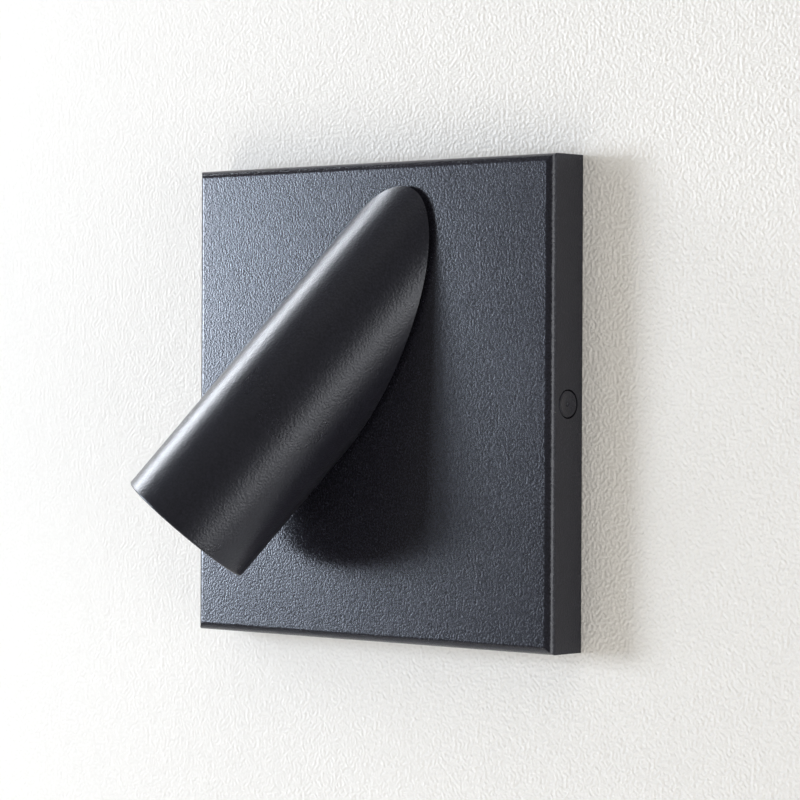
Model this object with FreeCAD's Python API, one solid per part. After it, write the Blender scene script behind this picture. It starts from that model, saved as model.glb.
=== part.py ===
import FreeCAD
import Part

import math
import os

from FreeCAD import Placement, Rotation, Vector

# A square wall plate with a push-button in its right side and an obliquely cut spotlight tube that
# swivels flat against it. Millimetres and degrees. X runs right along the wall, Y into the wall, Z up.
# The origin is the middle of the plate on the wall plane. A "depth" is a distance out from the wall.

X, Y, Z = Vector(1, 0, 0), Vector(0, 1, 0), Vector(0, 0, 1)
OUT = Vector(0, -1, 0)

# Plate
plate_side = 120.0
plate_depth = 11.7
cover_wall = 2.0
front_round = 2.0
fit_gap = 0.3
seat_gap = 0.05
soft_edge = 0.3

# Bracket
sheet = 1.5
bracket_side_gap = 3.0
bracket_top_gap = 4.0
hook_width = 60.0
hook_reach = 4.4
hook_height = 3.2
rib_wall = 1.8
flange_width = 90.0
flange_reach = 6.5
box_slot_pitch = 60.3
box_slot_length = 12.0
corner_slot_pitch = 84.0
corner_slot_length = 9.0
slot_width = 4.6
cable_hole = 16.0
cable_bush_bore = 11.0
cable_bush_rim = 2.0
cable_bush_flange = 1.2
cable_bush_bevel = 0.4

# Screws that hold the cover
cover_screw_pitch = 64.0
cover_screw_depth = 5.0
cover_screw_thread = 3.0
cover_screw_head = 5.6
cover_screw_length = 5.5
hex_key = 2.0
hex_key_depth = 1.2

# Swivel
pivot_height = 25.0
head_gap = 1.2
spindle_thread = 10.0
spindle_bore = 6.6
spindle_flange = 20.0
spindle_flange_wall = 2.0
spindle_flats = 8.8
spindle_bevel = 0.4
spindle_screw_circle = 15.0
spindle_screw_thread = 2.5
spindle_screw_head = 4.0
spindle_screw_head_height = 1.4
bush_sleeve_wall = 1.45
bush_flange = 22.0
washer_outer = 18.0
friction_washer_wall = 0.5
disc_spring_wall = 0.4
disc_spring_height = 0.7
disc_spring_inset = 0.5
stop_washer_wall = 0.8
nut_wall = 2.2
nut_across_flats = 14.0
nut_bevel = 0.35
stop_circle = 22.0
stop_pin_size = 1.6
stop_pin_hold = 1.2
stop_swing = 165.0
rest_swing = 32.2
running_gap = 0.05

# Head
head_size = 36.4
head_wall = 2.0
head_base_wall = 2.0
head_cut = 25.0
head_axis_length = 62.8
pivot_to_centre = 10.7
mouth_round = 0.5
mouth_recess = 8.0
bezel_length = 3.0
bezel_bore = 26.0
bezel_lip = 1.0
bezel_notch = 2.4
glass_size = 31.0
glass_wall = 1.5
glass_bevel = 0.2
seal_width = 1.8
seal_wall = 0.6
holder_size = 30.0
holder_ledge = 1.0
lens_size = 26.0
lens_rim_wall = 1.0
lens_rim_step = 1.0
lens_bulge = 1.0
lens_height = 6.9
lens_tail = 10.0
lens_pocket = 6.4
lens_pocket_height = 2.4
lens_pocket_taper = 0.5
chip_size = 12.0
chip_wall = 1.2
light_spot = 8.0
light_spot_wall = 0.15
led_board_wall = 1.6
led_screw_circle = 20.4
led_screw_thread = 2.5
led_screw_head = 3.8
led_screw_head_height = 1.4
led_screw_length = 5.0
thermal_pad_wall = 0.3
thermal_pad_inset = 0.5
sink_length = 23.6
sink_slot = 2.0
sink_slot_pitch = 4.6
sink_slot_count = 5
sink_slot_depth = 14.0
cable_size = 2.4
cable_offset = 11.0

# Button and its switch
button_size = 6.5
button_groove = 0.3
button_depth = 5.3
button_travel = 0.6
button_dish = 0.25
button_dimple = 1.4
button_dimple_depth = 0.4
button_flange = 8.0
button_flange_wall = 0.8
stem_size = 3.0
stem_length = 4.55
spring_room = 2.8
spring_wire = 0.35
spring_stem_gap = 0.25
spring_turns = 4
guide_wall = 1.0
guide_half_width = 5.0
switch_side = 6.0
switch_height = 3.5
plunger_size = 3.4
plunger_out = 1.8
plunger_in = 1.0
plunger_clearance = 0.2
switch_board_wall = 1.0
switch_board_width = 14.0
carrier_floor = 1.0
carrier_cheek = 1.0
carrier_back = 2.7
carrier_top_gap = 0.4
boss_size = 5.0
boss_height = 3.0
boss_offset = 3.5
ear_wall = 1.2
carrier_screw_thread = 2.0
carrier_screw_head = 3.8
carrier_screw_head_height = 1.3
carrier_screw_end = 0.5

# Driver
driver_length = 56.0
driver_width = 26.0
driver_height = 7.4
driver_gap = 4.2
driver_wall = 1.0
driver_round = 1.5
driver_post_height = 0.7
driver_post_size = 3.0
driver_post_inset = 2.0
driver_board_wall = 1.0
driver_board_gap = 0.5
board_round = 1.0
driver_ear = 5.5
driver_ear_width = 6.0
driver_ear_wall = 1.5
driver_screw_thread = 2.5
driver_screw_head = 4.4
driver_screw_head_height = 1.6
lid_lip = 0.8
part_height = 3.4
transformer_size = (13.0, 11.0)
transformer_core = 4.0
transformer_yoke = 0.6
winding_gap = 0.1
winding_overhang = 1.2
capacitor_size = 3.4
capacitor_length = 9.0
capacitor_rows = (-5.5, 5.5)
capacitor_gap = 2.0
capacitor_groove = 0.5
capacitor_groove_place = 7.4
inductor_size = 6.0
inductor_rim = 0.7
chip_body = (5.0, 4.0, 1.5)
chip_space = 2.5
connector_depth = 5.0
connector_width = 8.0
connector_height = 2.8
led_connector_width = 5.4

# Supply terminals and earth point
terminal_side_gap = 9.0
terminal_bottom = 14.0
terminal_pole = 6.8
terminal_poles = 3
terminal_length = 16.0
terminal_height = 6.0
terminal_tube_size = 3.6
terminal_tube_bore = 2.4
terminal_screw_size = 2.2
terminal_screw_inset = 4.0
terminal_screw_sunk = 0.6
terminal_tube_inset = 1.0
terminal_groove = 0.8
screw_slot = 0.4
earth_point = (-16.0, 9.5)
earth_screw_thread = 4.0
earth_screw_head = 7.0
earth_screw_head_height = 2.4
earth_washer_size = 9.0
earth_washer_wall = 0.8
earth_tag_wall = 0.75
earth_tag_width = 2.0
crimp_size = 2.3
crimp_length = 3.5
earth_lead_dip = 0.5

# Drives of the pan-head screws, as shares of their heads
drive_width_share = 0.4
drive_depth_share = 0.5

# Internal wires; an arc takes this share of the shorter run beside it
arc_share = 0.45
wire_size = 1.6
wire_pitch = 3.2
wire_depth = 4.5
switch_leads_out = 4.0
mains_leads_inset = 7.5
mains_exit = 4.0
mains_turn = 13.0
mains_step = 5.0
mains_reach = 9.0
mains_stagger = 2.0
switch_step = 3.0
switch_reach = 7.0
lead_bend = 11.5
cable_bow = 15.0
cable_lean = 4.0
cable_drop = 10.0
cable_entry_run = 12.0

# Places worked out from the sizes above
half = plate_side / 2
inner_half = half - cover_wall
inner_depth = plate_depth - cover_wall
pivot = Vector(0, 0, pivot_height)
cut_depth = plate_depth + head_gap
head_radius = head_size / 2
bore_radius = head_radius - head_wall
plunger_pocket = plunger_in + button_travel + plunger_clearance
stop_washer_depth = inner_depth - friction_washer_wall - disc_spring_height - seat_gap
spindle_end_depth = stop_washer_depth - stop_washer_wall - nut_wall
far = 4 * plate_side
over = 1.0    # how far a cutting tool runs past a face


def box(x, y, z):
    """Block between three pairs of limits."""
    corner = Vector(min(x), min(y), min(z))
    return Part.makeBox(abs(x[1] - x[0]), abs(y[1] - y[0]), abs(z[1] - z[0]), corner)


def deep(low, high):
    """Limits along Y for two depths out from the wall."""
    return (-high, -low)


def rod(start, direction, size, length):
    return Part.makeCylinder(size / 2, length, start, direction)


def turned(profile, origin, direction):
    """Solid of revolution from (radius, height) points, its axis from origin along direction."""
    points = [Vector(radius, 0, height) for radius, height in profile]
    return turned_wire(Part.makePolygon(points + points[:1]), origin, direction)


def turned_wire(outline, origin, direction):
    """Solid of revolution from a closed outline of radius and height, in the XZ plane."""
    solid = Part.Face(outline).revolve(Vector(0, 0, 0), Z, 360)
    solid.Placement = Placement(origin, Rotation(Z, direction))
    return solid


def ring(origin, direction, outer, bore, length):
    """Flat ring of two diameters."""
    profile = [(bore / 2, 0), (outer / 2, 0), (outer / 2, length), (bore / 2, length)]
    return turned(profile, origin, direction)


def pan_screw(seat, direction, thread, head, head_height, length):
    """Screw whose head stands on its seat and whose shank runs on along direction."""
    shank = rod(seat, direction, thread, length)
    cap = rod(seat - direction * head_height, direction, head, head_height)
    drive = rod(seat - direction * head_height, direction, head * drive_width_share,
                head_height * drive_depth_share)
    return shank.fuse(cap).cut(drive).removeSplitter()


def slot(x, z, length, width, depth_limits):
    """Straight slot along X, as a cutting tool through the given depths."""
    low, high = depth_limits
    reach = (length - width) / 2
    ends = [rod(Vector(x + side * reach, -high, z), Y, width, high - low) for side in (-1, 1)]
    middle = box((x - reach, x + reach), deep(low, high), (z - width / 2, z + width / 2))
    return middle.fuse(ends)


def rounded_sides(block, radius):
    """Rounds a block's edges that run out from the wall."""
    return block.makeFillet(radius, [edge for edge in block.Edges if abs(edge.tangentAt(0).y) > 0.9])


def lead(points, size):
    """Round lead along straight runs joined by tangent arcs as large as the runs allow."""
    edges, start = [], points[0]
    for before, corner, after in zip(points, points[1:], points[2:]):
        arriving = (corner - before).normalize()
        leaving = (after - corner).normalize()
        turn = arriving.getAngle(leaving)
        trim = arc_share * min((corner - before).Length, (after - corner).Length)
        radius = trim / math.tan(turn / 2)
        inward = (leaving - arriving).normalize()
        middle = corner + inward * (radius / math.cos(turn / 2) - radius)
        edges.append(Part.LineSegment(start, corner - arriving * trim).toShape())
        arc = Part.Arc(corner - arriving * trim, middle, corner + leaving * trim)
        edges.append(arc.toShape())
        start = corner + leaving * trim
    edges.append(Part.LineSegment(start, points[-1]).toShape())
    section = Part.Wire(Part.makeCircle(size / 2, points[0], points[1] - points[0]))
    return Part.Wire(edges).makePipeShell([section], True, False)


# ---- wall plate ----

def make_cover_plate():
    cover = box((-half, half), deep(0, plate_depth), (-half, half))
    front = [edge for edge in cover.Edges
             if all(abs(v.Y + plate_depth) < 1e-6 for v in edge.Vertexes)]
    cover = cover.makeFillet(front_round, front)
    hollow = box((-inner_half, inner_half), deep(-over, inner_depth), (-inner_half, inner_half))
    cover = cover.cut(hollow).fuse([hook_rib()] + carrier_bosses())
    through = cover_wall + 2 * over
    holes = [rod(pivot + OUT * (inner_depth - over), OUT, bush_sleeve_size() + 2 * running_gap, through),
             rod(stop_pin_place(inner_depth - over), OUT, stop_pin_size, over + stop_pin_hold),
             rod(button_axis(inner_half - over), X, button_size + 2 * button_groove, through)]
    holes += [cover_screw_hole(x) for x in cover_screw_places()]
    holes += [rod(seat, OUT, carrier_screw_thread, carrier_screw_run()) for seat in boss_tops()]
    return cover.cut(holes).removeSplitter()


def hook_rib():
    """Rib under the cover's top side that hangs on the bracket's hook."""
    low = sheet + (hook_reach - sheet - rib_wall) / 2
    bottom = bracket_top() + fit_gap
    return box((-hook_width / 2, hook_width / 2), deep(low, low + rib_wall), (bottom, inner_half))


def cover_screw_places():
    return (-cover_screw_pitch / 2, cover_screw_pitch / 2)


def cover_screw_profile(gap):
    """Countersunk screw outline, grown by a gap."""
    head, thread = cover_screw_head / 2 + gap, cover_screw_thread / 2 + gap
    cone = head - thread
    return [(0, 0), (head, 0), (thread, cone), (thread, cover_screw_length), (0, cover_screw_length)]


def cover_screw_hole(x):
    return turned(cover_screw_profile(seat_gap), Vector(x, -cover_screw_depth, -half), Z)


def make_cover_screws():
    screws = []
    for x in cover_screw_places():
        origin = Vector(x, -cover_screw_depth, -half)
        screw = turned(cover_screw_profile(0), origin, Z)
        key = Part.Face(Part.makePolygon(hexagon(hex_key))).extrude(Z * hex_key_depth)
        key.translate(origin)
        screws.append(screw.cut(key))
    return Part.makeCompound(screws)


def hexagon(across_flats):
    """Closed hexagon in the XY plane."""
    corner = across_flats / math.sqrt(3)
    turns = [math.radians(60 * n) for n in range(7)]
    return [Vector(corner * math.cos(turn), corner * math.sin(turn), 0) for turn in turns]


def bracket_side():
    return inner_half - bracket_side_gap


def bracket_top():
    return inner_half - bracket_top_gap


def bracket_bottom():
    return -inner_half + fit_gap


def make_mounting_bracket():
    side, top, bottom = bracket_side(), bracket_top(), bracket_bottom()
    plate = box((-side, side), deep(0, sheet), (bottom, top))
    hook_far = hook_reach + sheet
    shelf = box((-hook_width / 2, hook_width / 2), deep(0, hook_far), (top - sheet, top))
    lip = box((-hook_width / 2, hook_width / 2), deep(hook_reach, hook_far),
              (top - sheet, top + hook_height))
    flange = box((-flange_width / 2, flange_width / 2), deep(0, sheet + flange_reach),
                 (bottom, bottom + sheet))
    through = (-over, sheet + over)
    drilled = sheet + 2 * over
    holes = [slot(side * box_slot_pitch / 2, 0, box_slot_length, slot_width, through)
             for side in (-1, 1)]
    holes += [slot(x * corner_slot_pitch / 2, z * corner_slot_pitch / 2, corner_slot_length,
                   slot_width, through) for x in (-1, 1) for z in (-1, 1)]
    holes += [rod(Vector(x, -cover_screw_depth, bottom - over), Z, cover_screw_thread + seat_gap,
                  drilled) for x in cover_screw_places()]
    holes += [rod(place + Y * over, OUT, driver_screw_thread, drilled)
              for place in driver_screw_places()]
    holes += [rod(Y * over, OUT, cable_hole, drilled),
              rod(earth_place(-over), OUT, earth_screw_thread, drilled),
              rod(terminal_peg_place() + Y * over, OUT, terminal_peg_size() + seat_gap, drilled)]
    return plate.fuse([shelf, lip, flange]).cut(holes).removeSplitter()


def make_cable_bush():
    """Snap bush that lines the supply cable's hole, its flange inside the light."""
    rim = cable_hole / 2 + cable_bush_rim
    barrel = cable_hole / 2 - seat_gap
    bore = cable_bush_bore / 2
    bevel, front = cable_bush_bevel, sheet + cable_bush_flange
    profile = [(bore, 0), (barrel, 0), (barrel, sheet), (rim, sheet), (rim, front - bevel),
               (rim - bevel, front), (bore + bevel, front), (bore, front - bevel)]
    return turned(profile, Vector(0, 0, 0), OUT)


# ---- supply terminals and earth ----

def terminal_left():
    return -bracket_side() + terminal_side_gap


def terminal_width():
    return terminal_pole * terminal_poles


def terminal_pole_places():
    return [terminal_left() + terminal_pole * (n + 0.5) for n in range(terminal_poles)]


def terminal_peg_size():
    return terminal_pole / 2


def terminal_peg_place():
    return Vector(terminal_left() + terminal_width() / 2, 0, terminal_bottom + terminal_length / 2)


def terminal_centre_depth():
    return sheet + terminal_height / 2


def make_terminal_block():
    front = sheet + terminal_height
    block = box((terminal_left(), terminal_left() + terminal_width()), deep(sheet, front),
                (terminal_bottom, terminal_bottom + terminal_length))
    block = rounded_sides(block, terminal_groove)
    block = block.fuse(rod(terminal_peg_place(), OUT, terminal_peg_size(), sheet))
    cuts = [rod(Vector(x, -terminal_centre_depth(), terminal_bottom - over), Z,
                terminal_tube_size + seat_gap, terminal_length + 2 * over)
            for x in terminal_pole_places()]
    cuts += [rod(place, OUT, terminal_screw_size + 2 * fit_gap, terminal_height)
             for place in terminal_screw_places()]
    grooves = [terminal_left() + terminal_pole * n for n in range(1, terminal_poles)]
    cuts += [box((x - terminal_groove / 2, x + terminal_groove / 2),
                 deep(front - terminal_groove, front + over),
                 (terminal_bottom - over, terminal_bottom + terminal_length + over)) for x in grooves]
    return block.cut(cuts).removeSplitter()


def terminal_screw_places():
    """Tips of the clamping screws, on the axes of the tubes."""
    rows = (terminal_bottom + terminal_screw_inset,
            terminal_bottom + terminal_length - terminal_screw_inset)
    tip = terminal_centre_depth() + terminal_tube_bore / 4
    return [Vector(x, -tip, z) for x in terminal_pole_places() for z in rows]


def make_terminal_tubes():
    tubes = []
    for x in terminal_pole_places():
        start = Vector(x, -terminal_centre_depth(), terminal_bottom + terminal_tube_inset)
        tubes.append(ring(start, Z, terminal_tube_size, terminal_tube_bore,
                          terminal_length - 2 * terminal_tube_inset))
    holes = [rod(place, OUT, terminal_screw_size + seat_gap, terminal_height)
             for place in terminal_screw_places()]
    return Part.makeCompound([tube.cut(holes) for tube in tubes])


def make_terminal_screws():
    length = terminal_height / 2 - terminal_screw_sunk - terminal_tube_bore / 4
    screws = []
    for tip in terminal_screw_places():
        screw = rod(tip, OUT, terminal_screw_size, length)
        head = tip.y - length
        blade = box((tip.x - terminal_screw_size, tip.x + terminal_screw_size),
                    (head - over, head + screw_slot), (tip.z - screw_slot / 2, tip.z + screw_slot / 2))
        screws.append(screw.cut(blade))
    return Part.makeCompound(screws)


def earth_place(depth):
    return Vector(earth_point[0], -depth, earth_point[1])


def make_earth_washer():
    bore = earth_screw_thread + 2 * fit_gap
    return ring(earth_place(sheet), OUT, earth_washer_size, bore, earth_washer_wall)


def make_earth_screw():
    seat = earth_place(sheet + earth_washer_wall + earth_tag_wall)
    length = sheet + earth_washer_wall + earth_tag_wall
    return pan_screw(seat, Y, earth_screw_thread, earth_screw_head, earth_screw_head_height, length)


def make_earth_lead():
    """Wire from the last pole to a ring tag under the earth screw."""
    tag_depth = sheet + earth_washer_wall
    tag = rod(earth_place(tag_depth), OUT, earth_screw_head, earth_tag_wall)
    tongue_end = earth_washer_size / 2 + over
    barrel_start = earth_washer_size / 2 + fit_gap
    tongue = box((earth_point[0] - tongue_end, earth_point[0]), deep(tag_depth, tag_depth + earth_tag_wall),
                 (earth_point[1] - earth_tag_width / 2, earth_point[1] + earth_tag_width / 2))
    hole = rod(earth_place(0), OUT, earth_screw_thread + 2 * fit_gap, far)
    middle = tag_depth + earth_tag_wall / 2
    barrel = rod(earth_place(middle) - X * barrel_start, -X, crimp_size, crimp_length)
    wire_end = earth_place(middle) - X * (barrel_start + crimp_length / 2)
    pole = terminal_pole_places()[-1]
    points = [Vector(pole, -terminal_centre_depth(), terminal_bottom + over),
              Vector(pole, -terminal_centre_depth(), earth_point[1] + over),
              wire_end - X * crimp_length - Z * earth_lead_dip, wire_end]
    return tag.fuse(tongue).cut(hole).fuse([barrel, lead(points, wire_size)]).removeSplitter()


# ---- driver ----

def driver_bottom():
    return bracket_bottom() + sheet + driver_gap


def driver_top():
    return driver_bottom() + driver_width


def driver_middle():
    return driver_bottom() + driver_width / 2


def driver_screw_places():
    reach = driver_length / 2 + driver_ear / 2
    return [Vector(side * reach, 0, driver_middle()) for side in (-1, 1)]


def driver_board_depth():
    """Depth of the driver board's component face."""
    return sheet + driver_wall + driver_post_height + driver_board_wall


def connector_middle_depth():
    return driver_board_depth() + connector_height / 2


def mains_rows():
    """Heights of a pair of wires at the driver's ends."""
    middle = driver_top() - driver_wall - connector_width / 2 - driver_board_gap
    return (middle - wire_pitch / 2, middle + wire_pitch / 2)


def led_entry():
    """Where the lamp's cable passes the driver's top side."""
    inner_end = driver_board_limits()[0][1] - connector_depth
    return inner_end - chip_space - led_connector_width / 2


def make_driver_case():
    x, z = driver_length / 2, (driver_bottom(), driver_top())
    lid_depth = sheet + driver_height - driver_wall
    case = rounded_sides(box((-x, x), deep(sheet, lid_depth), z), driver_round)
    case = case.cut(box((-x + driver_wall, x - driver_wall), deep(sheet + driver_wall, far),
                        (z[0] + driver_wall, z[1] - driver_wall)))
    ear_z = (driver_middle() - driver_ear_width / 2, driver_middle() + driver_ear_width / 2)
    ears = [box((side * (x - driver_wall), side * (x + driver_ear)),
                deep(sheet, sheet + driver_ear_wall), ear_z) for side in (-1, 1)]
    board_x, board_z = driver_board_limits()
    posts = [rod(Vector(px, -sheet - driver_wall, pz), OUT, driver_post_size, driver_post_height)
             for px in (board_x[0] + driver_post_inset, board_x[1] - driver_post_inset)
             for pz in (board_z[0] + driver_post_inset, board_z[1] - driver_post_inset)]
    holes = [rod(place, OUT, driver_screw_thread + fit_gap, far) for place in driver_screw_places()]
    through = driver_wall + 2 * over
    holes += [rod(Vector(side * (x + over), -connector_middle_depth(), row), X * -side,
                  wire_size + 2 * fit_gap, through) for side in (-1, 1) for row in mains_rows()]
    holes.append(rod(Vector(led_entry(), -connector_middle_depth(), driver_top() + over), -Z,
                     cable_size + 2 * fit_gap, through))
    return case.fuse(ears + posts).cut(holes).removeSplitter()


def make_driver_lid():
    x, z = driver_length / 2, (driver_bottom(), driver_top())
    depth = sheet + driver_height
    lid = rounded_sides(box((-x, x), deep(depth - driver_wall, depth), z), driver_round)
    inset = driver_wall + seat_gap
    outer = box((-x + inset, x - inset), deep(depth - driver_wall - lid_lip, depth - driver_wall),
                (z[0] + inset, z[1] - inset))
    inset += driver_wall
    inner = box((-x + inset, x - inset), deep(depth - driver_wall - lid_lip, depth - driver_wall),
                (z[0] + inset, z[1] - inset))
    return lid.fuse(outer.cut(inner)).removeSplitter()


def driver_board_limits():
    inset = driver_wall + driver_board_gap
    x = driver_length / 2 - inset
    return (-x, x), (driver_bottom() + inset, driver_top() - inset)


def make_driver_board():
    x, z = driver_board_limits()
    back = driver_board_depth() - driver_board_wall
    return rounded_sides(box(x, deep(back, driver_board_depth()), z), board_round)


def on_board(x, z, width, length, height):
    """Block that stands on the driver board."""
    depth = driver_board_depth()
    return box((x - width / 2, x + width / 2), deep(depth, depth + height),
               (z - length / 2, z + length / 2))


def make_driver_transformer():
    """Flat ferrite core round a winding that shows at its two sides."""
    width, length = transformer_size
    z = driver_middle()
    core = on_board(0, z, width, length, part_height)
    opening, yoke = width - transformer_core, transformer_yoke
    window = on_board(0, z, opening, length + 2 * over, part_height - 2 * yoke)
    window.translate(OUT * yoke)
    winding = on_board(0, z, opening - 2 * winding_gap, length + 2 * winding_overhang,
                       part_height - 2 * yoke - 2 * winding_gap)
    winding.translate(OUT * (yoke + winding_gap))
    return Part.makeCompound([core.cut(window), rounded_sides(winding, board_round)])


def make_driver_capacitors():
    cans = []
    side = driver_board_limits()[0][0] + connector_depth + capacitor_gap
    for row in capacitor_rows:
        start = Vector(side, -driver_board_depth() - capacitor_size / 2, driver_middle() + row)
        can = rod(start, X, capacitor_size, capacitor_length)
        groove = ring(start + X * capacitor_groove_place, X, capacitor_size + over,
                      capacitor_size - capacitor_groove, capacitor_groove)
        cans.append(can.cut(groove))
    return Part.makeCompound(cans)


def make_driver_inductor():
    middle = Vector(driver_length / 4, -driver_board_depth(), driver_bottom() + driver_width / 4)
    rim = inductor_rim
    radius, waist = inductor_size / 2, inductor_size / 2 - rim
    profile = [(0, 0), (radius, 0), (radius, rim), (waist, rim), (waist, part_height - rim),
               (radius, part_height - rim), (radius, part_height), (0, part_height)]
    return turned(profile, middle, OUT)


def make_driver_chip():
    width, length, height = chip_body
    x = (transformer_size[0] + width) / 2 + chip_space
    return on_board(x, driver_middle(), width, length, height)


def make_driver_connectors():
    end = driver_board_limits()[0][1] - connector_depth / 2
    middle = sum(mains_rows()) / 2
    blocks = [on_board(side * end, middle, connector_depth, connector_width, connector_height)
              for side in (-1, 1)]
    top = driver_board_limits()[1][1] - connector_depth / 2
    blocks.append(on_board(led_entry(), top, led_connector_width, connector_depth, connector_height))
    return Part.makeCompound(blocks)


def make_driver_screws():
    return Part.makeCompound([
        pan_screw(place + OUT * (sheet + driver_ear_wall), Y, driver_screw_thread,
                  driver_screw_head, driver_screw_head_height, sheet + driver_ear_wall)
        for place in driver_screw_places()])


# ---- swivel, plate side ----

def bush_sleeve_size():
    return spindle_thread + 2 * running_gap + 2 * bush_sleeve_wall


def make_swivel_bush():
    """Flanged bush whose flange keeps the head off the plate."""
    bore = spindle_thread / 2 + running_gap
    sleeve, flange = bush_sleeve_size() / 2, bush_flange / 2
    top = cover_wall + head_gap - seat_gap
    profile = [(bore, 0), (sleeve, 0), (sleeve, cover_wall), (flange, cover_wall), (flange, top),
               (bore, top)]
    return turned(profile, pivot + OUT * inner_depth, OUT)


def stop_pin_place(depth):
    return pivot + Z * stop_circle / 2 + OUT * depth


def make_stop_pin():
    end = stop_washer_depth - stop_washer_wall
    return rod(stop_pin_place(end), OUT, stop_pin_size, inner_depth + stop_pin_hold - end)


def make_friction_washer():
    """Washer with an ear that fits over the stop pin, so that it stays with the plate."""
    start = pivot + OUT * (inner_depth - friction_washer_wall)
    washer = rod(start, OUT, washer_outer, friction_washer_wall)
    ear_half = stop_pin_size
    ear = box((-ear_half, ear_half), deep(inner_depth - friction_washer_wall, inner_depth),
              (pivot_height, pivot_height + stop_circle / 2 + ear_half))
    through = friction_washer_wall + 2 * over
    holes = [rod(start + Y * over, OUT, spindle_thread + 2 * fit_gap, through),
             rod(stop_pin_place(inner_depth - friction_washer_wall - over), OUT,
                 stop_pin_size + 2 * running_gap, through)]
    return washer.fuse(ear).cut(holes).removeSplitter()


# ---- button and switch ----

def button_axis(x):
    return Vector(x, -button_depth, 0)


def make_push_button():
    """Cap with a dished face and a dimple, an inner flange and a stem."""
    cap, flange, stem = button_size / 2, button_flange / 2, stem_size / 2
    back = cover_wall + seat_gap
    neck = back + button_flange_wall
    end = neck + stem_length
    corners = [(cap - soft_edge / 2, 0), (cap, soft_edge / 2), (cap, back), (flange, back),
               (flange, neck), (stem, neck), (stem, end - soft_edge), (stem - soft_edge, end), (0, end)]
    rim, dimple = cap - 2 * soft_edge, button_dimple / 2

    def face_point(radius):
        depth = button_dish * (1 - (radius / rim) ** 2)
        if radius < dimple:
            depth += button_dimple_depth * (1 - (radius / dimple) ** 2)
        return Vector(radius, 0, depth)

    face = [Part.Arc(face_point(low), face_point((low + high) / 2), face_point(high)).toShape()
            for low, high in ((0, dimple), (dimple, rim))]
    points = [face_point(rim)] + [Vector(radius, 0, height) for radius, height in corners]
    outline = Part.Wire(face + Part.makePolygon(points + [face_point(0)]).Edges)
    return turned_wire(outline, button_axis(half), -X)


def stem_tip():
    return inner_half - seat_gap - button_flange_wall - stem_length


def guide_front():
    """Place of the guide wall's face towards the button."""
    return inner_half - seat_gap - button_flange_wall - spring_room


def switch_front():
    """Place of the switch body's face towards the button."""
    return stem_tip() - seat_gap - plunger_out


def switch_back():
    return switch_front() - switch_height


def make_button_spring():
    """Coil round the stem, from the guide wall to the button's flange, in quarter turns."""
    radius = (stem_size + spring_wire) / 2 + spring_stem_gap
    rise = (spring_room - spring_wire - 2 * seat_gap) / spring_turns

    def at(turns):
        angle = 2 * math.pi * turns
        return Vector(radius * math.cos(angle), radius * math.sin(angle), rise * turns)

    arcs = [Part.Arc(at(n / 4), at((n + 0.5) / 4), at((n + 1) / 4)).toShape()
            for n in range(4 * spring_turns)]
    section = Part.Wire(Part.makeCircle(spring_wire / 2, at(0), at(0.01) - at(0)))
    coil = Part.Wire(arcs).makePipeShell([section], True, False)
    start = guide_front() + seat_gap + spring_wire / 2
    coil.Placement = Placement(button_axis(start), Rotation(Z, X))
    return coil


def carrier_cheek_inner():
    return switch_board_width / 2 + seat_gap


def boss_centre_z():
    return carrier_cheek_inner() + carrier_cheek + boss_offset


def boss_centre_x():
    return (switch_back() + guide_front()) / 2


def boss_tops():
    """Seats of the carrier's ears on the cover's bosses."""
    depth = inner_depth - boss_height
    return [Vector(boss_centre_x(), -depth, side * boss_centre_z()) for side in (-1, 1)]


def carrier_bosses():
    """Bosses on the cover's inner face, sunk into its wall."""
    return [rod(seat, OUT, boss_size, boss_height + cover_wall / 2) for seat in boss_tops()]


def carrier_screw_run():
    """How deep the carrier's screws go into the bosses."""
    return boss_height + carrier_screw_end


def make_switch_carrier():
    """Moulded seat for the switch, with a guide wall for the button's stem and two ears."""
    back = switch_back() - switch_board_wall - carrier_back
    front = guide_front()
    top = sheet + carrier_top_gap
    floor = deep(inner_depth - carrier_floor, inner_depth)
    outer = carrier_cheek_inner() + carrier_cheek
    base = box((back, front), floor, (-outer, outer))
    walls = [box((back, front), deep(top, inner_depth), (side * (outer - carrier_cheek), side * outer))
             for side in (-1, 1)]
    guide = box((front - guide_wall, front), deep(top, inner_depth), (-outer, outer))
    board = (switch_back() - switch_board_wall - seat_gap, switch_back() + seat_gap)
    ribs = [box(limits, deep(top, inner_depth), (side * guide_half_width, side * outer))
            for side in (-1, 1)
            for limits in ((board[0] - carrier_cheek, board[0]), (board[1], board[1] + carrier_cheek))]
    ear_depth = inner_depth - boss_height
    ears = [box((boss_centre_x() - boss_size / 2, boss_centre_x() + boss_size / 2),
                deep(ear_depth - ear_wall, ear_depth),
                (side * (outer - carrier_cheek / 2), side * (boss_centre_z() + boss_size / 2)))
            for side in (-1, 1)]
    holes = [rod(seat + OUT * over, Y, carrier_screw_thread + fit_gap, ear_wall + 2 * over)
             for seat in boss_tops()]
    holes.append(rod(button_axis(front - guide_wall - over), X, stem_size + 2 * running_gap,
                     guide_wall + 2 * over))
    return base.fuse(walls + [guide] + ribs + ears).cut(holes).removeSplitter()


def make_carrier_screws():
    return Part.makeCompound([
        pan_screw(seat + Y * ear_wall, OUT, carrier_screw_thread, carrier_screw_head,
                  carrier_screw_head_height, ear_wall + carrier_screw_run() - fit_gap)
        for seat in boss_tops()])


def make_switch_board():
    back = switch_back() - switch_board_wall
    high = inner_depth - carrier_floor
    low = sheet + carrier_top_gap + fit_gap
    return box((back, switch_back()), deep(low, high),
               (-switch_board_width / 2, switch_board_width / 2))


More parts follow.
